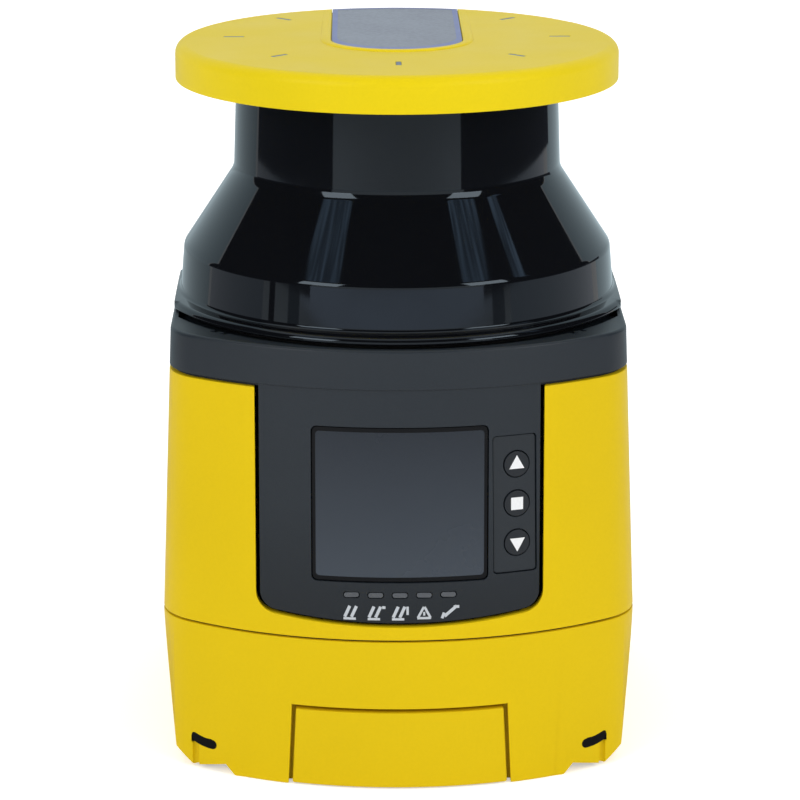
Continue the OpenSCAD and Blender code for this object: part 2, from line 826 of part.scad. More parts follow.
module base_block(skin = 0, z0 = 0) {
    intersection() {
        translate([0, 0, z0]) linear_extrude(base_top - z0) body_plan(skin);
        front_view(front_y - 1, rear_y + 1) flank_profile(skin);
    }
}

module memory_outline(grow = 0) {
    polygon([
        [-memory_foot_w - grow, memory_foot_z - grow - 1], [memory_foot_w + grow, memory_foot_z - grow - 1],
        [memory_top_w + grow, memory_h + grow], [-memory_top_w - grow, memory_h + grow]
    ]);
}

// Hollow that takes the memory module, or the walls round it when grown
module memory_bay(grow = 0) {
    front_view(front_y - 1, pocket_back_y + grow) memory_outline(memory_gap + grow);
    box(
        [-tray_half_w - slide_gap - grow, pocket_back_y - 1, tray_z - slide_gap - grow],
        [tray_half_w + slide_gap + grow, bay_back_y + grow, tray_top + slide_gap + grow]
    );
}

module connector_bay(grow = 0) {
    box([-bay_half_w - grow, bay_front_y - grow, -1], [bay_half_w + grow, rear_y + 1, bay_h + grow]);
}

module plug_axes() {
    for (side = [-1, 1]) translate([side * plug_dx / 2, 0, plug_z]) rotate([-90, 0, 0]) children();
}

module corner_cuts() {
    front_view(front_y - 1, rear_y + 1) for (side = [-1, 1]) polygon([
        [side * foot_half_w, -1], [side * foot_half_w, 0], [side * (foot_half_w + 2), notch_lift],
        [side * (half_w - 6.6), corner_lift], [side * (half_w - 3.2), corner_lift + 2.5],
        [side * (half_w + 1), corner_lift + 5.6], [side * (half_w + 1), -1]
    ]);
}

module lower_housing() {
    color(YELLOW) difference() {
        union() {
            difference() {
                base_block();
                base_block(wall, base_floor);
            }
            intersection() {
                base_block();
                union() {
                    memory_bay(bay_wall);
                    connector_bay(wall);
                    each_at(base_screws) cylinder(h = base_top, r = BOSS_R + 1);
                    each_at(interface_points) cylinder(h = interface_z, r = 3, $fn = 48);
                }
            }
        }
        memory_bay();
        connector_bay();
        corner_cuts();
        box([-10.8, bay_back_y - 1, memory_board_z - 2.3], [10.8, bay_back_y + bay_wall + 1, memory_board_z + 3.9]);
        each_at(base_screws, -1) cylinder(h = FAR, r = SCREW_R + SCREW_GAP, $fn = 32);
        each_at(base_screws, -1) cylinder(h = base_screw_z + 1, r = SCREW_HEAD_R + 0.2, $fn = 32);
        for (side = [-1, 1]) translate([side * front_slot[0], front_slot[1], slot_z])
            cylinder(h = slot_h, r = slot_r);
        for (side = [-1, 1]) translate([side * groove[0], groove[1], -1])
            cylinder(h = slot_z + 1 + EPS, r = groove_r, $fn = 32);
        each_at(interface_points, interface_z - 9) cylinder(h = 10, r = SCREW_R + SCREW_GAP, $fn = 32);
        plug_axes() translate([0, 0, bay_wall_y - 1]) cylinder(h = wall + 2, r = plug_r + 0.1);
    }
}

module housing_screws() {
    color(BLACK) each_at(base_screws, base_screw_z) screw(base_screw_l);
}

// ---------------------------------------------------------------- memory module

module memory_module() {
    color(YELLOW) difference() {
        union() {
            intersection() {
                linear_extrude(memory_h) body_plan();
                front_view(front_y - 1, memory_back_y) memory_outline();
                translate([-half_w, front_y - 1, memory_foot_z]) cube([body_w, body_d, memory_h]);
            }
            box([-tray_half_w, memory_back_y - EPS, tray_z], [tray_half_w, tray_back_y, tray_top]);
        }
        box(
            [-tray_half_w + tray_wall, memory_back_y, tray_z + tray_wall],
            [tray_half_w - tray_wall, tray_back_y - tray_wall, tray_top + 1]
        );
        box(
            [-tongue_half_w - SEAT, tray_back_y - 2, memory_board_z - SEAT],
            [tongue_half_w + SEAT, tray_back_y + 1, tray_top + 1]
        );
    }
    color(YELLOW) for (x = [-12, 12], y = [5, tray_d - 5])
        translate([x, memory_back_y + y, tray_z + tray_wall - EPS])
            cylinder(h = memory_board_z - tray_z - tray_wall + EPS, r = 1.5, $fn = 32);
}

module memory_board() {
    color(BOARD) {
        box(
            [-tray_half_w + tray_wall + SEAT, memory_back_y + SEAT, memory_board_z],
            [tray_half_w - tray_wall - SEAT, tray_back_y - tray_wall - SEAT, memory_board_z + BOARD_T]
        );
        box(
            [-tongue_half_w, tray_back_y - 3, memory_board_z],
            [tongue_half_w, tray_back_y + tongue_l, memory_board_z + BOARD_T]
        );
        box([-6, memory_back_y + 4, memory_board_z + BOARD_T - EPS], [6, memory_back_y + 12, memory_board_z + 3]);
    }
}

module memory_socket() {
    y0 = bay_back_y;
    color(DARK) difference() {
        union() {
            box([-10.4, y0 + 0.2, memory_board_z - 2], [10.4, y0 + 8, memory_board_z + 3.6]);
            box([-10.4, y0 + bay_wall + 0.2, memory_board_z + 3], [10.4, y0 + 8, interface_z]);
        }
        box(
            [-tongue_half_w - slide_gap, y0 - 1, memory_board_z - slide_gap],
            [tongue_half_w + slide_gap, y0 + tongue_l + 1, memory_board_z + BOARD_T + slide_gap]
        );
    }
}

module interface_board() {
    color(BOARD) difference() {
        union() {
            box([-32, bay_back_y + bay_wall + 0.5, interface_z], [32, bay_wall_y - 0.5, interface_z + BOARD_T]);
            box([-8, 6, interface_z + BOARD_T - EPS], [8, 16, interface_z + BOARD_T + 3]);
            for (side = [-1, 1]) translate([side * plug_dx / 2 - 5, bay_wall_y - 8, plug_z + plug_r])
                cube([10, 6, interface_z - plug_z - plug_r]);
        }
        each_at(interface_points, interface_z - 1) cylinder(h = 4, r = SCREW_R + SCREW_GAP, $fn = 32);
    }
}

module interface_screws() {
    color(METAL) each_at(interface_points, interface_z + BOARD_T) rotate([180, 0, 0]) screw(8);
}

// ---------------------------------------------------------------- plug connectors

module plug_shells() {
    color(METAL) plug_axes() difference() {
        union() {
            translate([0, 0, plug_back_y]) cylinder(h = plug_tip_y - plug_back_y, r = plug_r);
            translate([0, 0, bay_front_y]) cylinder(h = plug_flange_t, r = plug_flange_r);
        }
        translate([0, 0, plug_back_y - 1]) cylinder(h = FAR, r = plug_r - 1.2);
    }
}

module plug_nuts() {
    color(METAL) plug_axes() translate([0, 0, bay_wall_y - 2]) difference() {
        cylinder(h = 2, r = 8.4, $fn = 6);
        translate([0, 0, -1]) cylinder(h = 4, r = plug_r);
    }
}

module plug_inserts() {
    color(BLACK) plug_axes() translate([0, 0, plug_back_y + 0.4]) difference() {
        cylinder(h = plug_tip_y - plug_back_y - 7.4, r = plug_r - 1.2);
        pin_places() translate([0, 0, -1]) cylinder(h = FAR, r = 0.5, $fn = 24);
    }
}

// Seven pins round one in the middle
module pin_places() {
    children();
    for (i = [0:6]) rotate(i * 360 / 7) translate([2.75, 0, 0]) children();
}

module plug_pins() {
    color(BRASS) plug_axes() translate([0, 0, plug_back_y - 2]) pin_places()
        cylinder(h = plug_tip_y - plug_back_y + 0.5, r = 0.5, $fn = 24);
}

// ---------------------------------------------------------------- main board

module main_board_holes() {
    for (x = [-main_board_x, main_board_x], z = main_board_z)
        translate([x, main_board_y, z]) rotate([-90, 0, 0]) children();
}

module main_board() {
    color(BOARD) difference() {
        union() {
            box(
                [-main_board_x - 4, main_board_y, main_board_z[0] - 4],
                [main_board_x + 4, main_board_y + BOARD_T, main_board_z[1] + 4]
            );
            for (p = [[-14, 66], [6, 66], [-4, 54]])
                box([p[0], main_board_y - 2, p[1] - 5], [p[0] + 10, main_board_y + EPS, p[1] + 5]);
            box([-9, main_board_y - 3, 42], [9, main_board_y + EPS, 47]);
        }
        main_board_holes() translate([0, 0, -1]) cylinder(h = 4, r = SCREW_R + SCREW_GAP, $fn = 32);
    }
}

module board_screws() {
    color(METAL) main_board_holes() screw(7);
}

// Flat ribbon that sags from the display board back to the main board
module board_ribbon() {
    y0 = display_board_y + BOARD_T + 3;
    y1 = main_board_y - 3;
    z0 = 53;
    z1 = 45;
    sag_r = 150;
    mid = [(y0 + y1) / 2, (z0 + z1) / 2];
    half = norm([y1 - y0, z1 - z0]) / 2;
    tilt = atan2(z1 - z0, y1 - y0);
    color(GREY) translate([-8, 0, 0]) rotate([90, 0, 90]) linear_extrude(16)
        translate(mid) rotate(tilt) intersection() {
            translate([0, sqrt(sag_r * sag_r - half * half)]) difference() {
                circle(sag_r, $fn = 360);
                circle(sag_r - 0.4, $fn = 360);
            }
            translate([-half, -sag_r / 4]) square([2 * half, sag_r / 3]);
        }
}

// ---------------------------------------------------------------- optics

module optics_chassis() {
    color(METAL) difference() {
        union() {
            leaning_block(shell_top, chassis_top, panel_skin + SEAT);
            translate([0, 0, shell_top]) ring(sensor_r + 1, sensor_r - 2, sensor_board_z - shell_top);
        }
        translate([0, 0, shell_top - 1]) cylinder(h = FAR, r = lens_r + 2);
        each_at(bezel_points, shell_top - 1) cylinder(h = 5, r = BOSS_R + 0.2);
        each_at(chassis_points, shell_top - 1) cylinder(h = 5, r = SCREW_R + SCREW_GAP, $fn = 32);
        each_at(column_points, shell_top - 1) cylinder(h = 5, r = SCREW_R + SCREW_GAP, $fn = 32);
        box([-tenon_half_w - SEAT, tenon_y - SEAT, chassis_top], [tenon_half_w + SEAT, head_r, FAR]);
        box([-spine_half_w - SEAT, spine_y - SEAT, flange_z - SEAT], [spine_half_w + SEAT, head_r, FAR]);
    }
}

module chassis_screws() {
    color(METAL) each_at(chassis_points, chassis_top) rotate([180, 0, 0]) screw(9);
}

module lens_barrel() {
    color(BLACK) translate([0, 0, barrel_z]) difference() {
        union() {
            cylinder(h = lens_z + 3 - barrel_z, r = lens_r + 1.8);
            translate([0, 0, chassis_top - barrel_z]) cylinder(h = 2, r = lens_r + 6);
        }
        translate([0, 0, -1]) cylinder(h = FAR, r = lens_r - 1.4);
        translate([0, 0, lens_z - barrel_z]) cylinder(h = FAR, r = lens_r + 0.05);
    }
}

module receiver_lens() {
    dome_r = 70;
    edge_t = 2.4;
    color(GLASS) translate([0, 0, lens_z]) difference() {
        intersection() {
            cylinder(h = edge_t + 4, r = lens_r);
            translate([0, 0, edge_t - sqrt(dome_r * dome_r - lens_r * lens_r)]) sphere(dome_r, $fn = 180);
        }
        translate([0, 0, -1]) cylinder(h = 10, r = laser_r + 0.05);
    }
}

module laser_module() {
    color(METAL) translate([0, 0, barrel_z]) difference() {
        union() {
            cylinder(h = lens_z + 8 - barrel_z, r = laser_r);
            cylinder(h = 8, r = laser_r + 2);
        }
        translate([0, 0, lens_z + 6 - barrel_z]) cylinder(h = 3, r = laser_r - 1.2);
    }
}

module receiver_board() {
    color(BOARD) translate([0, 0, barrel_z - BOARD_T]) {
        cylinder(h = BOARD_T, r = lens_r + 1);
        translate([-6, 8, -2]) cube([12, 6, 2 + EPS]);
    }
}

module window_sensor_board() {
    color(BOARD) translate([0, 0, sensor_board_z]) difference() {
        ring(sensor_r + 3, sensor_r - 4, 1.2);
        translate([0, 0, -1]) linear_extrude(4) rear_wedge(12);
    }
}

module window_sensors() {
    color(BLACK) for (i = [-4:4]) rotate(i * 28 - 90) translate([sensor_r, 0, sensor_board_z + 1.2]) {
        translate([-1.5, -2, 0]) cube([3, 4, 2]);
        translate([0, 0, 2]) cylinder(h = 0.8, r = 1, $fn = 32);
    }
}

// ---------------------------------------------------------------- scan drive

module motor_bracket() {
    color(METAL) translate([0, 0, bracket_z]) difference() {
        union() {
            cylinder(h = bracket_t, r = bracket_r);
            box([-spine_half_w + 1, 0, 0], [spine_half_w - 1, 45, bracket_t]);
            translate([0, 0, -bearing_t - 0.4]) cylinder(h = 2 * bearing_t + bracket_t + 0.6, r = hub_r);
        }
        translate([0, 0, -bearing_t - 1]) cylinder(h = bearing_t + 1, r = bearing_r);
        translate([0, 0, bracket_t]) cylinder(h = bearing_t + 1, r = bearing_r);
        translate([0, 0, -1]) cylinder(h = 4, r = bearing_r - 1);
        for (a = [30, 150, 270]) rotate(a) translate([cap_post_r, 0, -1])
            cylinder(h = 4, r = SCREW_R + SCREW_GAP, $fn = 32);
        each_at(bracket_points, -1) cylinder(h = 4, r = SCREW_R + SCREW_GAP, $fn = 32);
    }
}

module bracket_screws() {
    color(METAL) each_at(bracket_points, bracket_z + bracket_t) rotate([180, 0, 0]) screw(7);
}

module motor_bearings() {
    color(METAL) for (z = [-bearing_t, bracket_t]) translate([0, 0, bracket_z + z])
        ring(bearing_r, shaft_r + shaft_gap, bearing_t);
}

module motor_stator() {
    poles = 9;
    color(BRASS) translate([0, 0, bracket_z + bracket_t]) difference() {
        union() {
            cylinder(h = 2.6, r = hub_r + 4);
            for (i = [0:poles - 1]) rotate(i * 360 / poles) {
                translate([hub_r + 2, -1, 0]) cube([rotor_r - hub_r - 4.5, 2, 2.4]);
                translate([hub_r + 5, -2, 0]) cube([rotor_r - hub_r - 9, 4, 2.6]);
            }
        }
        translate([0, 0, -1]) cylinder(h = 5, r = hub_r);
    }
}

module rotor_cup() {
    web_z = bearing_t + bracket_t + 0.5;
    color(METAL) translate([0, 0, bracket_z]) difference() {
        translate([0, 0, bracket_t + 0.5]) cylinder(h = web_z - bracket_t + 0.3, r = rotor_r);
        translate([0, 0, bracket_t]) cylinder(h = web_z - bracket_t, r = rotor_r - 1.8);
        cylinder(h = FAR, r = shaft_r);
    }
}

module motor_shaft() {
    foot = holder_top - 5;
    color(METAL) translate([0, 0, foot])
        cylinder(h = bracket_z + bracket_t + bearing_t + 0.8 - foot, r = shaft_r);
}

module encoder_disc() {
    slots = 24;
    color(METAL) translate([0, 0, holder_top]) difference() {
        cylinder(h = 0.6, r = encoder_r);
        translate([0, 0, -1]) cylinder(h = 3, r = shaft_r);
        for (i = [0:slots - 1]) rotate(i * 360 / slots) translate([encoder_r - 3, -0.6, -1]) cube([2, 1.2, 3]);
    }
}

module encoder_sensor() {
    reach = encoder_r - 2.8;
    color(BLACK) difference() {
        box([-3, reach, holder_top - 2.4], [3, encoder_r + 4, bracket_z]);
        box([-4, reach - 1, holder_top - 0.5], [4, encoder_r + 0.8, holder_top + 1.1]);
    }
}

// Half space above the plane that meets the scan axis at 45 degrees
module above_mirror(z) {
    translate([0, 0, z]) rotate([-45, 0, 0]) translate([-FAR / 2, -FAR / 2, 0]) cube([FAR, FAR, FAR]);
}

module mirror_holder() {
    color(BLACK) difference() {
        intersection() {
            translate([0, 0, mirror_z - mirror_r - 1])
                cylinder(h = holder_top - mirror_z + mirror_r + 1, r = mirror_r);
            above_mirror(mirror_z + mirror_t * sqrt(2));
        }
        translate([0, 0, holder_top - 5]) cylinder(h = 10, r = shaft_r);
    }
}

module scan_mirror() {
    color(METAL) intersection() {
        translate([0, 0, mirror_z - mirror_r])
            cylinder(h = holder_top - SEAT - mirror_z + mirror_r, r = mirror_r);
        difference() {
            above_mirror(mirror_z);
            above_mirror(mirror_z + mirror_t * sqrt(2));
        }
    }
}

top_cap();
cap_underplate();
cap_insert();
cap_screws();
optical_window();
window_seal();
rear_column();
column_screws();
front_bezel();
bezel_screws();
display_lens();
lcd_module();
lcd_frame();
display_board();
keypad_strip();
key_up();
key_select();
key_down();
key_board();
status_lamps();
upper_housing();
housing_gasket();
lower_housing();
housing_screws();
memory_module();
memory_board();
memory_socket();
interface_board();
interface_screws();
main_board();
board_screws();
board_ribbon();
plug_shells();
plug_inserts();
plug_pins();
plug_nuts();
optics_chassis();
chassis_screws();
lens_barrel();
receiver_lens();
laser_module();
receiver_board();
window_sensor_board();
window_sensors();
motor_bracket();
bracket_screws();
motor_stator();
motor_bearings();
rotor_cup();
motor_shaft();
encoder_disc();
encoder_sensor();
mirror_holder();
scan_mirror();
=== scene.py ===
import math

import bmesh
import bpy
from mathutils import Matrix, Vector
from mathutils.bvhtree import BVHTree


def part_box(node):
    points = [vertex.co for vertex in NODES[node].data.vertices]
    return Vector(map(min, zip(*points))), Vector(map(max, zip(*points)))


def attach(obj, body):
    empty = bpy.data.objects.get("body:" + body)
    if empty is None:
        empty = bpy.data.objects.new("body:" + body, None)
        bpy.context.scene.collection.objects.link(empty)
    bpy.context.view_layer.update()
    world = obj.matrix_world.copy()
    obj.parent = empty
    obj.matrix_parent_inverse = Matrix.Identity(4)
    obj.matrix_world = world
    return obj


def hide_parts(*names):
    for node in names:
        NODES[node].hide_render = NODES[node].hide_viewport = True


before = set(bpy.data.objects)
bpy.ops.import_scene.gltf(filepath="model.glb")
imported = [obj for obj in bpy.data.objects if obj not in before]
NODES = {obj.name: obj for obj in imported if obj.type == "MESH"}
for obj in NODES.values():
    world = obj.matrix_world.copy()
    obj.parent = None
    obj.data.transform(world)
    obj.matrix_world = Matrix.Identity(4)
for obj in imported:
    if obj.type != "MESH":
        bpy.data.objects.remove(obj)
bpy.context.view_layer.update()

MM = 0.001

# ------------------------------------------------------------ camera

VIEW_TURN = math.radians(-0.65)
VIEW_TILT = math.radians(75.34)     # 90 degrees would look level
VIEW_REACH = 0.8
VIEW_HEIGHT = 0.2803


def placed(name, data):
    """New object in the scene, with its data."""
    made = bpy.data.objects.new(name, data)
    bpy.context.scene.collection.objects.link(made)
    return made


camera = placed("camera", bpy.data.cameras.new("camera"))
bpy.context.scene.camera = camera
camera.data.lens = 167
camera.data.sensor_width = 36
camera.data.shift_x = 0.00375
camera.data.clip_start = 0.05
camera.location = (VIEW_REACH * math.sin(VIEW_TURN), -VIEW_REACH * math.cos(VIEW_TURN), VIEW_HEIGHT)
camera.rotation_euler = (VIEW_TILT, 0, VIEW_TURN)

# ------------------------------------------------------------ finishes


def display(red, green, blue):
    """Linear colour of a shade given as 0 to 255 on a display."""
    linear = []
    for level in (red, green, blue):
        level /= 255
        linear.append(level / 12.92 if level <= 0.04045 else ((level + 0.055) / 1.055) ** 2.4)
    return (*linear, 1)


def new_group(name, inputs, outputs):
    """Empty shader group with named inputs and outputs, and the nodes that carry them."""
    group = bpy.data.node_groups.new(name, "ShaderNodeTree")
    for label, value in inputs.items():
        kind = "NodeSocketColor" if isinstance(value, tuple) else "NodeSocketFloat"
        group.interface.new_socket(label, in_out="INPUT", socket_type=kind).default_value = value
    for label, kind in outputs.items():
        group.interface.new_socket(label, in_out="OUTPUT", socket_type=kind)
    return group, group.nodes.new("NodeGroupInput"), group.nodes.new("NodeGroupOutput")


def noise_node(group, place, scale, detail):
    """Noise over the surface, its scale a number or a socket."""
    noise = group.nodes.new("ShaderNodeTexNoise")
    noise.inputs["Detail"].default_value = detail
    group.links.new(place, noise.inputs["Vector"])
    if isinstance(scale, (int, float)):
        noise.inputs["Scale"].default_value = scale
    else:
        group.links.new(scale, noise.inputs["Scale"])
    return noise.outputs["Fac"]


def spread_node(group, factor, low, high):
    """Maps noise from its usual 0.3..0.7 to low..high."""
    ramp = group.nodes.new("ShaderNodeMapRange")
    ramp.inputs["From Min"].default_value = 0.3
    ramp.inputs["From Max"].default_value = 0.7
    group.links.new(factor, ramp.inputs["Value"])
    for socket, value in (("To Min", low), ("To Max", high)):
        if isinstance(value, (int, float)):
            ramp.inputs[socket].default_value = value
        else:
            group.links.new(value, ramp.inputs[socket])
    return ramp.outputs["Result"]


def make_skin_group():
    """Skin of a moulded or painted piece: drift of tone, fine speckle, grain and uneven gloss."""
    group, ins, outs = new_group(
        "skin",
        {"Color": (0.8, 0.8, 0.8, 1), "Drift": 0.04, "Speckle": 0.03, "Roughness": 0.4,
         "Gloss drift": 0.06, "Grain size": 1800.0, "Grain": 0.1},
        {"Color": "NodeSocketColor", "Roughness": "NodeSocketFloat", "Normal": "NodeSocketVector"},
    )
    place = group.nodes.new("ShaderNodeTexCoord").outputs["Object"]
    slow = noise_node(group, place, 22, 3)
    fine = noise_node(group, place, ins.outputs["Grain size"], 2)
    smear = noise_node(group, place, 60, 4)

    def plus_minus(amount, factor):
        """Noise spread evenly either side of nothing, by an amount."""
        minus = group.nodes.new("ShaderNodeMath")
        minus.operation = "MULTIPLY"
        minus.inputs[1].default_value = -1
        group.links.new(amount, minus.inputs[0])
        return spread_node(group, factor, minus.outputs[0], amount)

    def total(*terms):
        """Sum of sockets and numbers."""
        sum_so_far = terms[0]
        for term in terms[1:]:
            add = group.nodes.new("ShaderNodeMath")
            group.links.new(sum_so_far, add.inputs[0])
            if isinstance(term, (int, float)):
                add.inputs[1].default_value = term
            else:
                group.links.new(term, add.inputs[1])
            sum_so_far = add.outputs[0]
        return sum_so_far

    shade = total(plus_minus(ins.outputs["Drift"], slow), plus_minus(ins.outputs["Speckle"], fine), 1)
    tint = group.nodes.new("ShaderNodeVectorMath")
    tint.operation = "SCALE"
    group.links.new(ins.outputs["Color"], tint.inputs[0])
    group.links.new(shade, tint.inputs["Scale"])
    group.links.new(tint.outputs[0], outs.inputs["Color"])
    rough = total(ins.outputs["Roughness"], plus_minus(ins.outputs["Gloss drift"], smear))
    group.links.new(rough, outs.inputs["Roughness"])
    bump = group.nodes.new("ShaderNodeBump")
    bump.inputs["Distance"].default_value = 0.00005
    group.links.new(ins.outputs["Grain"], bump.inputs["Strength"])
    group.links.new(fine, bump.inputs["Height"])
    group.links.new(bump.outputs[0], outs.inputs["Normal"])
    return group


SKIN = make_skin_group()


def finish(name, colour, roughness, metallic=0.0, drift=0.04, speckle=0.03, gloss_drift=0.05,
           grain_size=1800, grain=0.1, specular=0.5, tint=(1, 1, 1)):
    """Material on the shared skin, with this piece's own colour, gloss and grain."""
    material = bpy.data.materials.new(name)
    material.use_nodes = True
    tree = material.node_tree
    shader = tree.nodes["Principled BSDF"]
    skin = tree.nodes.new("ShaderNodeGroup")
    skin.node_tree = SKIN
    for label, value in (("Color", colour), ("Drift", drift), ("Speckle", speckle),
                         ("Roughness", roughness), ("Gloss drift", gloss_drift),
                         ("Grain size", grain_size), ("Grain", grain)):
        skin.inputs[label].default_value = value
    tree.links.new(skin.outputs["Color"], shader.inputs["Base Color"])
    tree.links.new(skin.outputs["Roughness"], shader.inputs["Roughness"])
    tree.links.new(skin.outputs["Normal"], shader.inputs["Normal"])
    shader.inputs["Metallic"].default_value = metallic
    shader.inputs["Specular IOR Level"].default_value = specular
    shader.inputs["Specular Tint"].default_value = tint + (1,)
    return material


FINISHES = {
    "housing_yellow": finish("housing_paint", display(227, 195, 16), 0.36, drift=0.02, speckle=0.012,
                             grain=0.12, grain_size=1500, specular=0.09),
    "cap_yellow": finish("cap_paint", display(233, 207, 6), 0.42, drift=0.02, speckle=0.012,
                         grain=0.12, grain_size=1500, specular=0.15),
    "module_yellow": finish("module_paint", display(227, 195, 18), 0.36, drift=0.02, speckle=0.012,
                            grain=0.12, grain_size=1500, specular=0.09),
    "insert_grey": finish("insert_print", display(134, 138, 151), 0.42, speckle=0.12, grain=0.3,
                          grain_size=1200, specular=0.3),
    "window_black": finish("window_gloss", display(12, 13, 16), 0.05, drift=0.1, gloss_drift=0.02,
                           grain=0.02, grain_size=300, specular=0.36, tint=(0.72, 0.87, 1)),
    "seal_rubber": finish("seal_rubber", display(20, 20, 22), 0.75, grain=0.4),
    "bezel_dark": finish("bezel_plastic", display(35, 42, 49), 0.42, grain=0.3, grain_size=2200,
                         specular=0.3),
    "display_glass": finish("display_cover", display(10, 12, 16), 0.3, grain=0.02, specular=0.15),
    "display_panel": finish("display_panel", display(60, 64, 70), 0.4),
    "keypad_dark": finish("keypad_film", display(37, 43, 49), 0.4, grain=0.2, specular=0.3),
    "key_dark": finish("key_film", display(30, 35, 41), 0.42, grain=0.2, specular=0.3),
    "lamp_clear": finish("lamp_lens", display(78, 82, 88), 0.3, grain=0.05),
    "inner_black": finish("inner_plastic", display(24, 25, 27), 0.55, grain=0.5),
    "board_green": finish("board_resist", display(24, 92, 56), 0.35, speckle=0.1, grain=0.3),
    "ribbon_grey": finish("ribbon_jacket", display(150, 150, 155), 0.5),
    "screw_black": finish("screw_oxide", display(34, 35, 40), 0.35, metallic=0.9, grain=0.3),
    "steel": finish("screw_steel", display(190, 192, 196), 0.28, metallic=1.0, grain=0.2),
    "plug_brass": finish("plug_nickel", display(196, 190, 176), 0.25, metallic=1.0, grain=0.15),
    "pin_gold": finish("pin_gold", display(226, 188, 96), 0.22, metallic=1.0),
    "cast_alloy": finish("cast_alloy", display(170, 172, 176), 0.45, metallic=1.0, grain=0.8),
    "machined_alloy": finish("machined_alloy", display(196, 198, 202), 0.3, metallic=1.0, grain=0.3),
    "winding_copper": finish("winding_enamel", display(178, 96, 48), 0.35, metallic=0.8, grain=0.6),
    "lens_glass": finish("lens_coating", display(90, 70, 110), 0.05, grain=0.0),
    "mirror_coat": finish("mirror_coat", display(235, 235, 238), 0.02, metallic=1.0, grain=0.0),
}
INSERT_BORDER = finish("insert_border", display(115, 123, 172), 0.4, grain=0.1, specular=0.35)
MARK_INK = finish("mark_ink", display(96, 108, 130), 0.4, grain=0.1)
# painted shadow: flat black for the shade inside the corner slots and over their mouths
SLOT_SHADOW = finish("slot_shadow_paint", display(5, 6, 12), 0.5, grain=0.2, specular=0.1)
WHITE_PRINT = finish("white_print", display(238, 240, 242), 0.45, grain=0.05, drift=0.01)
GREY_PRINT = finish("grey_print", display(190, 196, 203), 0.45, grain=0.05, drift=0.01)
DISPLAY_PANE = finish("display_pane", display(34, 41, 50), 0.24, grain=0.02, specular=0.3)


def shade_by_height(material, low, high, colour):
    """Paints light and shade into a material's colour: it eases to another colour towards the lower height.
    """
    tree = material.node_tree
    place = tree.nodes.new("ShaderNodeTexCoord")
    parts = tree.nodes.new("ShaderNodeSeparateXYZ")
    level = tree.nodes.new("ShaderNodeMapRange")
    blend = tree.nodes.new("ShaderNodeMix")
    blend.data_type = "RGBA"
    level.inputs["From Min"].default_value = high
    level.inputs["From Max"].default_value = low
    shader = tree.nodes["Principled BSDF"]
    skin = shader.inputs["Base Color"].links[0].from_socket
    tree.links.new(place.outputs["Object"], parts.inputs[0])
    tree.links.new(parts.outputs["Z"], level.inputs["Value"])
    tree.links.new(level.outputs["Result"], blend.inputs["Factor"])
    tree.links.new(skin, blend.inputs["A"])
    blend.inputs["B"].default_value = colour
    tree.links.new(blend.outputs["Result"], shader.inputs["Base Color"])


# painted reflection: the display pane turns lighter towards its bottom
shade_by_height(DISPLAY_PANE, 0.046, 0.078, display(60, 68, 78))
# painted shade: the bezel turns darker towards its bottom
shade_by_height(FINISHES["bezel_dark"], 0.036, 0.062, display(24, 30, 36))
for cad in NODES.values():
    cad.material_slots[0].material = FINISHES[cad.material_slots[0].material.name]

# ------------------------------------------------------------ making pieces


SMOOTH_UP_TO = math.radians(38)     # edges sharper than this stay crisp


def piece(name, mesh, slot, body, *nodes, ink=None, border=None):
    """Turns a finished bmesh into a piece of the scanner that rides on a body.

    Its material is the slot's finish, or the ink where one is given. Faces of material index 1
    get the border's material.
    """
    data = bpy.data.meshes.new(name)
    for edge in mesh.edges:
        edge.smooth = edge.is_manifold and edge.calc_face_angle() < SMOOTH_UP_TO
    for face in mesh.faces:
        face.smooth = True
        if not border:
            face.material_index = 0
    mesh.to_mesh(data)
    mesh.free()
    made = placed(name, data)
    data.materials.append(ink or FINISHES[slot])
    if border:
        data.materials.append(border)
    normals = made.modifiers.new("normals", "WEIGHTED_NORMAL")
    normals.keep_sharp = True
    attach(made, body)
    if nodes:
        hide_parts(*nodes)


def turn(mesh, angle, axis, verts=None):
    """Turns a mesh, or some of its vertices, about an axis through the origin."""
    bmesh.ops.rotate(mesh, verts=verts or mesh.verts, matrix=Matrix.Rotation(angle, 3, axis))


def pull(mesh, extruded, offset):
    """Moves the vertices that an extrusion has made."""
    bmesh.ops.translate(mesh, verts=[v for v in extruded if isinstance(v, bmesh.types.BMVert)], vec=offset)


def thicken(mesh, depth):
    """Gives a flat face that looks forward a back behind it."""
    pull(mesh, bmesh.ops.extrude_face_region(mesh, geom=mesh.faces[:])["geom"], (0, depth, 0))
    bmesh.ops.recalc_face_normals(mesh, faces=mesh.faces)


def close_holes(mesh):
    """Fills every open edge loop with a face."""
    bmesh.ops.holes_fill(mesh, edges=[e for e in mesh.edges if e.is_boundary], sides=0)


def cut(mesh, point, normal, clear=False):
    """Cuts a mesh by a plane; clear takes what lies beyond it away and closes the cut."""
    bmesh.ops.bisect_plane(
        mesh, geom=mesh.verts[:] + mesh.edges[:] + mesh.faces[:], dist=1e-7, plane_co=point,
        plane_no=normal, clear_outer=clear
    )
    if clear:
        close_holes(mesh)


RIDGE_FROM = math.radians(30)       # flatter edges aren't eased


def round_ridges(mesh, width, segments, keep):
    """Rounds a mesh's convex sharp edges where keep allows it at their middle."""
    ridges = [
        edge for edge in mesh.edges
        if edge.is_manifold and edge.is_convex and edge.calc_face_angle() > RIDGE_FROM
        and keep((edge.verts[0].co + edge.verts[1].co) / 2)
    ]
    bmesh.ops.bevel(
        mesh, geom=ridges, offset=width, offset_type="OFFSET", segments=segments, profile=0.5,
        affect="EDGES", clamp_overlap=False, material=-1, loop_slide=False
    )


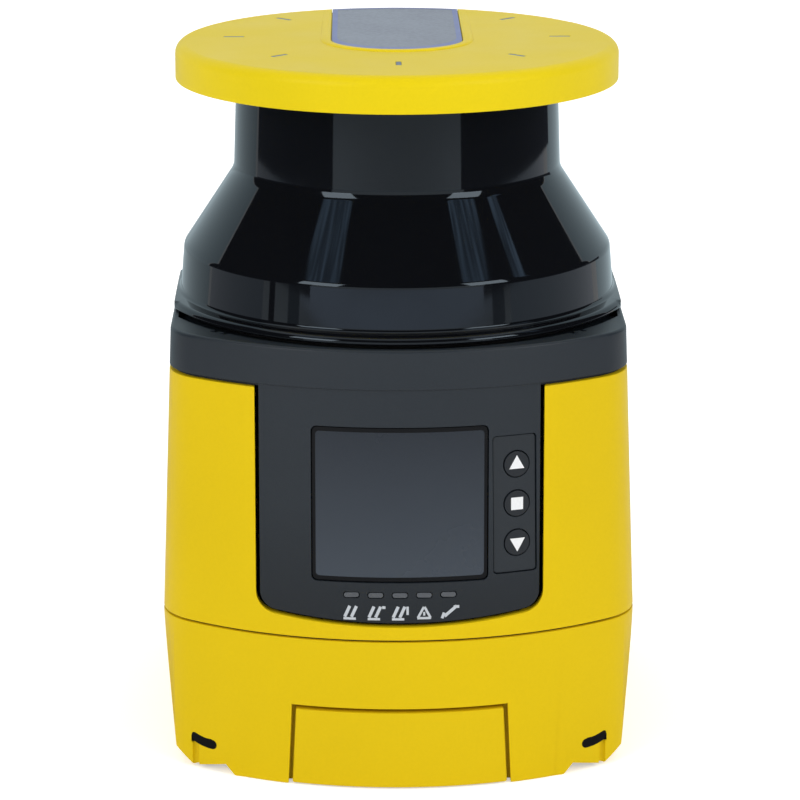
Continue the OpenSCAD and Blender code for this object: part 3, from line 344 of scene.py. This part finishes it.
def eased(node, width, segments=2, keep=lambda middle: True):
    """Merged copy of a CAD solid with its sharp outer edges rounded by width, where keep allows."""
    mesh = bmesh.new()
    mesh.from_mesh(NODES[node].data)
    bmesh.ops.remove_doubles(mesh, verts=mesh.verts, dist=2e-6)
    bmesh.ops.dissolve_limit(
        mesh, angle_limit=math.radians(0.3), verts=mesh.verts, edges=mesh.edges, delimit=set()
    )
    bmesh.ops.dissolve_degenerate(mesh, dist=1e-5, edges=mesh.edges)
    if width:
        round_ridges(mesh, width, segments, keep)
    return mesh


# ------------------------------------------------------------ housings

HALF_W = 0.051              # half width, corners and bowed front, all at the seam
CORNER = Vector((0.036, -0.02925, 0))
CORNER_R = 0.015
FRONT_R = 0.075
FRONT_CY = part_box("lower_housing")[0].y + FRONT_R
SEAM_Z = 0.033
DRAFT = 0.0375              # lean of the walls above the seam


def off_slots(middle):
    """Leaves the small corner slots and their grooves as they are."""
    return abs(middle.x) < 0.033 or middle.y > -0.033 or middle.z > 0.0085


def below_collar(middle):
    """Leaves the screw pockets under the collar as they are."""
    return middle.z < 0.072 or middle.z > 0.085


piece("upper_shell", eased("upper_housing", 0.0003, 2, below_collar), "housing_yellow", "housing",
      "upper_housing")
piece("lower_shell", eased("lower_housing", 0.0003, 2, off_slots), "housing_yellow", "housing",
      "lower_housing")
bezel = eased("front_bezel", 0)
collar_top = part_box("front_bezel")[1].z
rear = max(vert.co.y for vert in bezel.verts if vert.co.z > collar_top - 0.0001)


def on_rim(middle):
    """Whether a point lies on the collar's upper outer rim."""
    lean = (collar_top - SEAM_Z) * DRAFT + 0.0001
    corner = Vector((abs(middle.x) - CORNER.x, middle.y - CORNER.y))
    if middle.z < collar_top - 0.0001:
        return False
    return (
        math.hypot(middle.x, middle.y - FRONT_CY) > FRONT_R - lean or abs(middle.x) > HALF_W - lean
        or middle.y > rear - 0.0001 or (corner.x > 0 > corner.y and corner.length > CORNER_R - lean)
    )


round_ridges(bezel, 0.0007, 4, on_rim)
round_ridges(bezel, 0.00015, 2, lambda middle: middle.z < collar_top - 0.001)
piece("bezel_moulding", bezel, "bezel_dark", "housing", "front_bezel")
piece("module_shell", eased("memory_module", 0.0004), "module_yellow", "memory_unit", "memory_module")
piece("column_moulding", eased("rear_column", 0.0003), "bezel_dark", "housing", "rear_column")
piece("display_cover", eased("display_lens", 0.0001, 1), "display_glass", "housing", "display_lens")
piece("keypad_film", eased("keypad_strip", 0.0001, 1), "keypad_dark", "housing", "keypad_strip")
for level in ("up", "select", "down"):
    piece(level + "_key_cap", eased("key_" + level, 0.0002), "key_dark", level + "_button", "key_" + level)

for node, width, name in (
    ("cap_underplate", 0.0002, "cap_lining"),
    ("plug_shells", 0.0002, "plug_sleeves"),
    ("plug_nuts", 0.0002, "plug_lock_nuts"),
    ("status_lamps", 0.00015, "lamp_caps"),
):
    slot = next(key for key, made in FINISHES.items() if made == NODES[node].material_slots[0].material)
    piece(name, eased(node, width), slot, "housing", node)

# ------------------------------------------------------------ cap

CAP_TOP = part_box("top_cap")[1].z
CAP_FLAT_R = 0.0458         # the cap's top is flat up to here
INSERT_HALF_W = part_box("cap_insert")[1].x
INSERT_REAR = 0.03          # the insert's rounded front end lies well before this
BORDER_W = 0.0011           # printed border along the insert's sides
BORDER_FRONT = 0.0028       # how much wider it is in front
LIP_W = 0.0022
LIP_H = 0.0004
LIP_GAP = 0.0002
LIP_SHORT = 0.002           # the lip ends this far inside the cap's flat
MARK_Y = 0.0045             # the angle marks stand round this point
MARK_R = 0.0356
MARK_SIZE = (0.0045, 0.00105, 0.00022)


def off_mouth(middle):
    """Leaves the rear mouth of the insert's recess as it is."""
    return middle.y < 0.042 or abs(middle.x) > 0.018


piece("cap_shell", eased("top_cap", 0.0002, 2, off_mouth), "cap_yellow", "housing", "top_cap")

insert = eased("cap_insert", 0.0001, 1, off_mouth)
plate = max((f for f in insert.faces if f.normal.z > 0.99), key=lambda f: f.calc_area())
printed = bmesh.ops.inset_region(insert, faces=[plate], thickness=BORDER_W, depth=0, use_even_offset=True)
bmesh.ops.translate(insert, verts=[v for v in plate.verts if v.co.y < INSERT_REAR], vec=(0, BORDER_FRONT, 0))
bmesh.ops.inset_region(insert, faces=[plate], thickness=0.00012, depth=-0.00008, use_even_offset=True)
for face in printed["faces"]:
    face.material_index = 1
piece("insert_plate", insert, "insert_grey", "housing", "cap_insert", border=INSERT_BORDER)


def raised_lip():
    """Low rounded bead on the cap round the insert, open at the rear, where its ends sink in."""
    mesh = bmesh.new()
    rim = bmesh.ops.create_circle(mesh, segments=16, radius=LIP_W / 2)["verts"]
    bmesh.ops.scale(mesh, verts=rim, vec=(1, 2 * LIP_H / LIP_W, 1))
    turn(mesh, math.pi / 2, "X", rim)
    middle = INSERT_HALF_W + LIP_GAP + LIP_W / 2
    bmesh.ops.translate(mesh, verts=rim, vec=(-middle, 0, CAP_TOP))
    bmesh.ops.spin(mesh, geom=mesh.verts[:] + mesh.edges[:], angle=math.pi, steps=48, axis=(0, 0, 1))
    arms = bmesh.ops.extrude_edge_only(mesh, edges=[e for e in mesh.edges if e.is_boundary])["geom"]
    rear = math.sqrt(CAP_FLAT_R ** 2 - middle ** 2) - LIP_SHORT
    pull(mesh, arms, (0, rear, -0.75 * LIP_H))
    close_holes(mesh)
    bmesh.ops.recalc_face_normals(mesh, faces=mesh.faces)
    return mesh


piece("insert_lip", raised_lip(), "cap_yellow", "housing")

for number in range(1, 8):
    mark = bmesh.new()
    bmesh.ops.create_cube(mark, size=1)
    bmesh.ops.scale(mark, verts=mark.verts, vec=MARK_SIZE)
    upright = [e for e in mark.edges if abs(e.verts[0].co.z - e.verts[1].co.z) > 1e-6]
    bmesh.ops.bevel(mark, geom=upright, offset=0.0004, offset_type="OFFSET", segments=4, profile=0.5,
                    affect="EDGES", material=-1)
    bmesh.ops.translate(mark, verts=mark.verts, vec=(MARK_R, 0, CAP_TOP - 0.00016))
    turn(mark, math.radians((number - 4) * 45 - 90), "Z")
    bmesh.ops.translate(mark, verts=mark.verts, vec=(0, MARK_Y, 0))
    piece(f"angle_mark_{number}", mark, "insert_grey", "housing", ink=MARK_INK)

# ------------------------------------------------------------ optical window

SCAN_ANGLE = math.radians(275)
WINDOW_PROFILE = (          # radius and height of each corner, and how far its edge is eased, in mm
    (51.0, 95.9, 0.3), (51.0, 97.4, 1.1), (47.6, 97.8, 0.8), (46.8, 107.5, 0.6), (35.7, 124.4, 1.2),
    (35.0, 145.1, 0.0), (33.0, 145.1, 0.0), (33.7, 123.8, 0.0), (44.8, 106.3, 0.0), (45.2, 95.9, 0.0),
)
SEAT_HALF_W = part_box("optical_window")[1].x


def window():
    """Stepped window turned about the scan axis, with its flange cut to the collar's flanks."""
    mesh = bmesh.new()
    ring = [mesh.verts.new((r * MM, 0, z * MM)) for r, z, ease in WINDOW_PROFILE]
    sides = [mesh.edges.new((ring[i - 1], ring[i])) for i in range(len(ring))]
    turn(mesh, math.radians(90) + (math.tau - SCAN_ANGLE) / 2, "Z", ring)
    bmesh.ops.spin(mesh, geom=ring + sides, angle=SCAN_ANGLE, steps=220, axis=(0, 0, 1))
    close_holes(mesh)
    for side in (-1, 1):
        cut(mesh, (side * SEAT_HALF_W, 0, 0), (side, 0, 0), clear=True)
    bmesh.ops.recalc_face_normals(mesh, faces=mesh.faces)
    for r, z, ease in WINDOW_PROFILE:
        if ease:
            edges = [
                edge for edge in mesh.edges
                if all(abs(v.co.z - z * MM) < 2e-6 for v in edge.verts)
                and all(abs(v.co.xy.length - r * MM) < 2e-5 for v in edge.verts)
            ]
            bmesh.ops.bevel(mesh, geom=edges, offset=ease * MM, offset_type="OFFSET", segments=5,
                            profile=0.5, affect="EDGES", clamp_overlap=False, material=-1)
    return mesh


piece("window_pane", window(), "window_black", "housing", "optical_window")

# ------------------------------------------------------------ display, keys and lamps

STRIP_TURN = math.radians(19.3)


def tile(width, height, corner, thickness=0.0001):
    """Flat tile with rounded corners, x across and z up, its face at y = 0 and its back behind."""
    mesh = bmesh.new()
    bmesh.ops.create_grid(mesh, x_segments=1, y_segments=1, size=0.5)
    bmesh.ops.scale(mesh, verts=mesh.verts, vec=(width, height, 1))
    turn(mesh, math.pi / 2, "X")
    bmesh.ops.bevel(mesh, geom=mesh.verts[:], offset=corner, offset_type="OFFSET", segments=5,
                    profile=0.5, affect="VERTICES", material=-1)
    thicken(mesh, thickness)
    return mesh


def onto_wall(mesh, x, z, skin):
    """Places a flat tile on the bowed, leaning front wall, skin inside its surface."""
    bmesh.ops.translate(mesh, verts=mesh.verts, vec=(x, 0, z))
    cuts = int(max(v.co.x for v in mesh.verts) / MM) + 2
    for k in range(-cuts, cuts):
        cut(mesh, (k * MM, 0, 0), (1, 0, 0))
    for v in mesh.verts:
        r = FRONT_R - skin - (v.co.z - SEAM_Z) * DRAFT
        v.co.y += FRONT_CY - math.sqrt(r * r - v.co.x ** 2)
    return mesh


DISPLAY_SIZE = (0.0354, 0.0312, 0.0008)     # width, height and corner radius of the lit pane
DISPLAY_Z = 0.0624
pane = onto_wall(tile(*DISPLAY_SIZE), 0, DISPLAY_Z, 0.00078)
piece("display_pane", pane, "display_glass", "housing", ink=DISPLAY_PANE)

KEY_FACING = Vector((math.sin(STRIP_TURN), -math.cos(STRIP_TURN), 0))
KEY_SYMBOLS = {             # corners, radius and turn in degrees of the figure on each key
    "up": (3, 0.00195, 0), "select": (4, 0.0019, -45), "down": (3, 0.00195, -180),
}
for level, (corners, radius, tilt) in KEY_SYMBOLS.items():
    symbol = bmesh.new()
    bmesh.ops.create_circle(symbol, cap_ends=True, segments=corners, radius=radius)
    turn(symbol, math.radians(tilt), "Z")
    turn(symbol, math.pi / 2, "X")
    thicken(symbol, 0.00012)
    turn(symbol, STRIP_TURN, "Z")
    points = [v.co for v in NODES["key_" + level].data.vertices]
    front = max(point.dot(KEY_FACING) for point in points)
    rim = [point for point in points if point.dot(KEY_FACING) > front - 1e-6]
    middle = (Vector(map(min, *rim)) + Vector(map(max, *rim))) / 2
    bmesh.ops.translate(symbol, verts=symbol.verts, vec=middle + KEY_FACING * 0.00006)
    piece(level + "_symbol", symbol, "insert_grey", level + "_button", ink=WHITE_PRINT)

TRACKS = ((-0.9, 0.1, 0.65, 2.6, -24), (0.5, 0.1, 0.65, 2.6, -24), (-0.4, -1.45, 2.6, 0.5, 0))
LAMP_SYMBOLS = (            # bars of each printed symbol: x, z, width, height in mm and lean in degrees
    TRACKS,
    TRACKS + ((1.7, 1.1, 0.7, 0.6, 0),),
    TRACKS + ((1.6, 0.4, 0.5, 1.8, 0),),
    ((-0.7, 0.0, 0.5, 2.7, -28), (0.7, 0.0, 0.5, 2.7, 28), (0, -1.25, 2.9, 0.5, 0), (0, -0.3, 0.45, 0.8, 0)),
    ((0.5, 0.1, 0.65, 3.4, -50), (-1.1, -0.8, 0.6, 1.3, -20), (1.7, 1.0, 1.2, 0.6, 0)),
)
LAMP_X = (-0.0102, -0.0051, 0, 0.0051, 0.0102)
LAMP_SYMBOL_Z = 0.0393
for number, (x, bars) in enumerate(zip(LAMP_X, LAMP_SYMBOLS), 1):
    symbol = bmesh.new()
    for dx, dz, width, height, slope in bars:
        part = bmesh.ops.create_cube(symbol, size=1)["verts"]
        bmesh.ops.scale(symbol, verts=part, vec=(width * MM, 0.0001, height * MM))
        turn(symbol, math.radians(-slope), "Y", part)
        bmesh.ops.translate(symbol, verts=part, vec=(dx * MM, 0, dz * MM))
    onto_wall(symbol, x, LAMP_SYMBOL_Z, 0.0004)
    piece(f"lamp_symbol_{number}", symbol, "insert_grey", "housing", ink=GREY_PRINT)

# ------------------------------------------------------------ corner slots and the painted shadow in them

SLOT_Z = 0.0064
SLOT_BEARING = math.radians(24)
SLOT_DEPTH = 0.012          # the screw's seat lies this far out from the corner's axis
SHADE_R = 0.0041
SHADE_SIDES = (0.00235, 0.00185)    # its front and back, measured out from the seat
MOUTH_SHADOW_SIZE = (0.0060, 0.0021, 0.001, 0.00012)     # width, height, corner radius and thickness of the black tile that paints the shadow over the slot's mouth
MOUTH_SHADOW_BEND_R = 0.0143         # radius of the housing's corner at the slot
ABOVE_SLOT = (0.009, 0.013)     # heights where the corner is whole
PROBE = 0.03
lower_wall = BVHTree.FromBMesh(eased("lower_housing", 0))


def facing(side, bearing):
    """Level direction at a bearing from the front, to the left or the right."""
    return Vector((side * math.sin(bearing), -math.cos(bearing), 0))


def wall_point(side, bearing, z, proud):
    """Point on the drafted front corner at a bearing from the front, a little proud of it.

    The wall is measured at two heights above the slot, and its lean carried on down.
    """
    ahead = facing(side, bearing)
    axis = Vector((side * CORNER.x, CORNER.y, 0))
    low, high = ABOVE_SLOT
    reach = []
    for height in ABOVE_SLOT:
        start = axis + ahead * PROBE + Vector((0, 0, height))
        reach.append((lower_wall.ray_cast(start, -ahead)[0] - start + ahead * PROBE).dot(ahead))
    radius = reach[0] + (reach[1] - reach[0]) * (z - low) / (high - low)
    return axis + ahead * (radius + proud) + Vector((0, 0, z))


for side, label in ((-1, "left"), (1, "right")):
    ahead = facing(side, SLOT_BEARING)
    seat = Vector((side * CORNER.x, CORNER.y, SLOT_Z)) + ahead * SLOT_DEPTH
    # painted shadow: a black slab standing in the slot where its depth lies in shade
    shade = bmesh.new()
    bmesh.ops.create_cone(shade, cap_ends=True, segments=48, radius1=SHADE_R, radius2=SHADE_R, depth=0.0015)
    bmesh.ops.translate(shade, verts=shade.verts, vec=seat)
    for distance, outward in zip(SHADE_SIDES, (1, -1)):
        cut(shade, seat + ahead * distance, ahead * outward, clear=True)
    bmesh.ops.recalc_face_normals(shade, faces=shade.faces)
    piece("slot_shade_" + label, shade, "screw_black", "housing", ink=SLOT_SHADOW)

    # painted shadow over the slot's mouth: the tile slants down towards the front and droops in the middle
    mouth_shadow = tile(*MOUTH_SHADOW_SIZE)
    for k in range(-5, 6):
        cut(mouth_shadow, (k * MM / 2, 0, 0), (1, 0, 0))
    for vert in mouth_shadow.verts:
        along = vert.co.x / (MOUTH_SHADOW_SIZE[0] / 2)
        height = SLOT_Z + 0.00025 + vert.co.z + 0.0006 * along - 0.0004 * (1 - along * along)
        vert.co = wall_point(side, SLOT_BEARING + vert.co.x / MOUTH_SHADOW_BEND_R, height, 0.00003 - vert.co.y)
    if side < 0:
        bmesh.ops.reverse_faces(mouth_shadow, faces=mouth_shadow.faces)
    piece("slot_mouth_shadow_" + label, mouth_shadow, "screw_black", "housing", ink=SLOT_SHADOW)

# ------------------------------------------------------------ light and floor

world = bpy.data.worlds.new("studio")
bpy.context.scene.world = world
world.use_nodes = True
tree = world.node_tree
paths = tree.nodes.new("ShaderNodeLightPath")
seen = paths.outputs["Is Camera Ray"]
for kind in ("Is Glossy Ray", "Is Transmission Ray"):
    either = tree.nodes.new("ShaderNodeMath")
    either.operation = "MAXIMUM"
    tree.links.new(seen, either.inputs[0])
    tree.links.new(paths.outputs[kind], either.inputs[1])
    seen = either.outputs[0]
level = tree.nodes.new("ShaderNodeMapRange")
level.inputs["To Min"].default_value = 0.7      # strength where it only lights
level.inputs["To Max"].default_value = 1.0      # strength where it is seen
tree.links.new(seen, level.inputs["Value"])
tree.links.new(level.outputs["Result"], tree.nodes["Background"].inputs["Strength"])
tree.nodes["Background"].inputs["Color"].default_value = (1, 1, 1, 1)


SOFTBOX_SIDE = 0.45
SOFTBOX_REACH = 1.2
SOFTBOX_AIM = Vector((0, 0, 0.09))


def softbox(name, bearing, rise, radiance):
    """Square area lamp that faces the scanner from a bearing and a rise in degrees."""
    lamp = placed(name, bpy.data.lights.new(name, "AREA"))
    lamp.data.shape = "RECTANGLE"
    lamp.data.size = SOFTBOX_SIDE
    lamp.data.size_y = SOFTBOX_SIDE
    lamp.data.energy = radiance * math.pi * SOFTBOX_SIDE * SOFTBOX_SIDE
    a, e = math.radians(bearing), math.radians(rise)
    away = Vector((math.sin(a) * math.cos(e), -math.cos(a) * math.cos(e), math.sin(e)))
    lamp.location = away * SOFTBOX_REACH + SOFTBOX_AIM
    lamp.rotation_euler = away.to_track_quat("Z", "Y").to_euler()
    return lamp


softbox("softbox_left", -43, 25, 5.0)
softbox("softbox_right", 49, 25, 5.0)
softbox("softbox_rear", 180, 30, 2.6).visible_glossy = False


def card_finish(name, colour, strength, mottled=False):
    """Glow of a card that only reflections see, even or mottled like cloud."""
    made = bpy.data.materials.new(name)
    made.use_nodes = True
    shader = made.node_tree.nodes["Principled BSDF"]
    shader.inputs["Base Color"].default_value = (0, 0, 0, 1)
    shader.inputs["Roughness"].default_value = 0.9
    shader.inputs["Specular IOR Level"].default_value = 0
    shader.inputs["Emission Color"].default_value = colour + (1,)
    shader.inputs["Emission Strength"].default_value = strength
    if mottled:
        cloud = made.node_tree.nodes.new("ShaderNodeTexNoise")
        cloud.inputs["Scale"].default_value = 14
        place = made.node_tree.nodes.new("ShaderNodeTexCoord")
        level = made.node_tree.nodes.new("ShaderNodeMapRange")
        level.inputs["From Min"].default_value = 0.4
        level.inputs["From Max"].default_value = 0.65
        level.inputs["To Min"].default_value = 0.5 * strength
        level.inputs["To Max"].default_value = 1.8 * strength
        made.node_tree.links.new(place.outputs["Object"], cloud.inputs["Vector"])
        made.node_tree.links.new(cloud.outputs["Fac"], level.inputs["Value"])
        made.node_tree.links.new(level.outputs["Result"], shader.inputs["Emission Strength"])
    return made


CARD_REACH = 1.7


def card(name, glow, bearing, span, low, high, reach=CARD_REACH, far=None):
    """Curved studio card round the scanner that only reflections see.

    It starts at a bearing and covers span, in degrees from the front. It stands upright from low
    to high at a distance of reach, and leans or lies where far gives its top edge another distance.
    """
    mesh = bmesh.new()
    start = mesh.verts.new((0, -reach, low))
    end = mesh.verts.new((0, -(far or reach), high))
    edge = mesh.edges.new((start, end))
    turn(mesh, math.radians(bearing), "Z")
    bmesh.ops.spin(mesh, geom=[start, end, edge], angle=math.radians(span), steps=24, axis=(0, 0, 1))
    data = bpy.data.meshes.new(name)
    mesh.to_mesh(data)
    mesh.free()
    made = placed(name, data)
    data.materials.append(glow)
    for ray in ("camera", "diffuse", "shadow", "transmission", "volume_scatter"):
        setattr(made, "visible_" + ray, False)


BLACK_CARD = card_finish("black_card", (0.7, 0.8, 1.0), 0.03)
NECK_CARD = card_finish("neck_card", (0.7, 0.8, 1.0), 0.08)
GREY_CARD = card_finish("grey_card", (0.8, 0.9, 1.0), 0.28)
DIM_CARD = card_finish("dim_card", (0.87, 0.92, 1.0), 0.6)
PALE_CARD = card_finish("pale_card", (0.88, 0.93, 1.0), 0.8)
FRONT_CARD = card_finish("front_card", (0.82, 0.87, 1.0), 1.5)
REAR_CARD = card_finish("rear_card", (0.61, 0.75, 0.81), 1.04)
EDGE_CARD = card_finish("edge_card", (0.64, 0.78, 0.84), 0.8)
BLUE_CARD = card_finish("blue_card", (0.6, 0.78, 1.0), 0.85, mottled=True)

LAID = (0.0012, 0.0012)     # both edges of a card that lies on the floor

card("flag_right", BLACK_CARD, 46, 76, 0.0, 2.2)
card("flag_left", BLACK_CARD, -118, 72, 0.0, 2.2)
card("flag_front", BLACK_CARD, -52, 104, 0.62, 3.0)
card("rear_screen", REAR_CARD, 123, 118, 0.0, 3.0)
card("stand_front", FRONT_CARD, -52, 101.5, *LAID, 1.38, 1.9)
card("stand_flag_right", GREY_CARD, 49.5, 7, *LAID, 1.12, 1.7)
card("stand_right", PALE_CARD, 60, 63, *LAID, 0.45, 1.69)
card("stand_rear_right", REAR_CARD, 129, 52, *LAID, 0.2, 1.69)
card("stand_rear_left", EDGE_CARD, 181, 63, *LAID, 0.2, 1.69)
card("stand_left", DIM_CARD, -114, 40, *LAID, 0.45, 1.69)
card("stand_stripe_left", BLACK_CARD, -70, 3.5, *LAID, 1.02, 1.7)
card("stand_flag_left", GREY_CARD, -58.5, 6.5, *LAID, 1.12, 1.7)
card("neck_flag_right", NECK_CARD, 42, 86, 0.0855, 0.12, 0.3)
card("neck_flag_left", NECK_CARD, -110, 66.6, 0.0855, 0.12, 0.3)
card("sky_card_right", BLUE_CARD, 44, 22, 1.72, 2.3, 1.6)
card("sky_card_left", BLUE_CARD, -64, 24, 1.72, 2.3, 1.6)
card("sky_card_side", BLUE_CARD, 76, 7, 1.1, 1.9, 1.6)

floor_mesh = bmesh.new()
bmesh.ops.create_grid(floor_mesh, x_segments=2, y_segments=2, size=4)
floor_data = bpy.data.meshes.new("floor")
floor_mesh.to_mesh(floor_data)
floor_mesh.free()
floor = placed("floor", floor_data)
pale = bpy.data.materials.new("pale_floor")
pale.use_nodes = True
tree = pale.node_tree
shader = tree.nodes["Principled BSDF"]
shader.inputs["Base Color"].default_value = (0.92, 0.92, 0.92, 1)
shader.inputs["Roughness"].default_value = 0.8
shader.inputs["Specular IOR Level"].default_value = 0
shader.inputs["Emission Color"].default_value = (1, 1, 1, 1)
paths = tree.nodes.new("ShaderNodeLightPath")
glow = tree.nodes.new("ShaderNodeMath")
glow.operation = "MULTIPLY"
glow.inputs[1].default_value = 0.45     # lifts the floor to white where the camera sees it
tree.links.new(paths.outputs["Is Camera Ray"], glow.inputs[0])
tree.links.new(glow.outputs[0], shader.inputs["Emission Strength"])
floor_data.materials.append(pale)

bpy.context.scene.view_settings.view_transform = "Standard"
